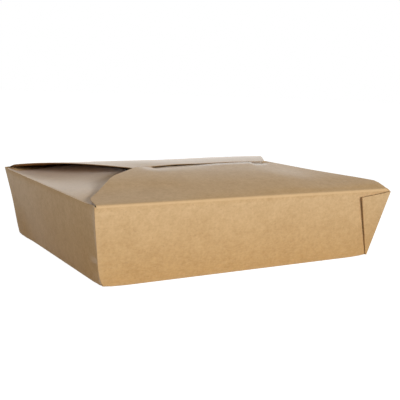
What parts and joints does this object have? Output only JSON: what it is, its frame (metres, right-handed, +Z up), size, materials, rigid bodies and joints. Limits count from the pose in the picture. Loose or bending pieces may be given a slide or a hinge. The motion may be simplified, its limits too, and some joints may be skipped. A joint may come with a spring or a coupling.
{
  "type": "takeaway box",
  "caption": "Folded kraft board takeaway box with flared walls, glued corner webs and four closing flaps, the front one locked by a tongue in a slit.",
  "frame": {"origin": "middle of the base, on the table", "axes": "+Z up out of the base, +X along the box's length, -Y towards the fold of the front flap"},
  "size_m": [0.216, 0.166, 0.0597],
  "materials": {
    "board": "uncoated brown kraft board, matt, with fine fibres",
    "flap_board": "uncoated brown kraft board, matt, with fine fibres"
  },
  "bodies": {
    "carton": {"carton": "board"},
    "front_flap": {"front_flap": "flap_board"}
  },
  "joints": [
    {"name": "front_flap_fold", "type": "hinge", "parent": "carton", "child": "front_flap", "pos_m": [0, -0.0825, 0.048], "axis": [1, 0, 0], "range_deg": [0, 180]}
  ]
}
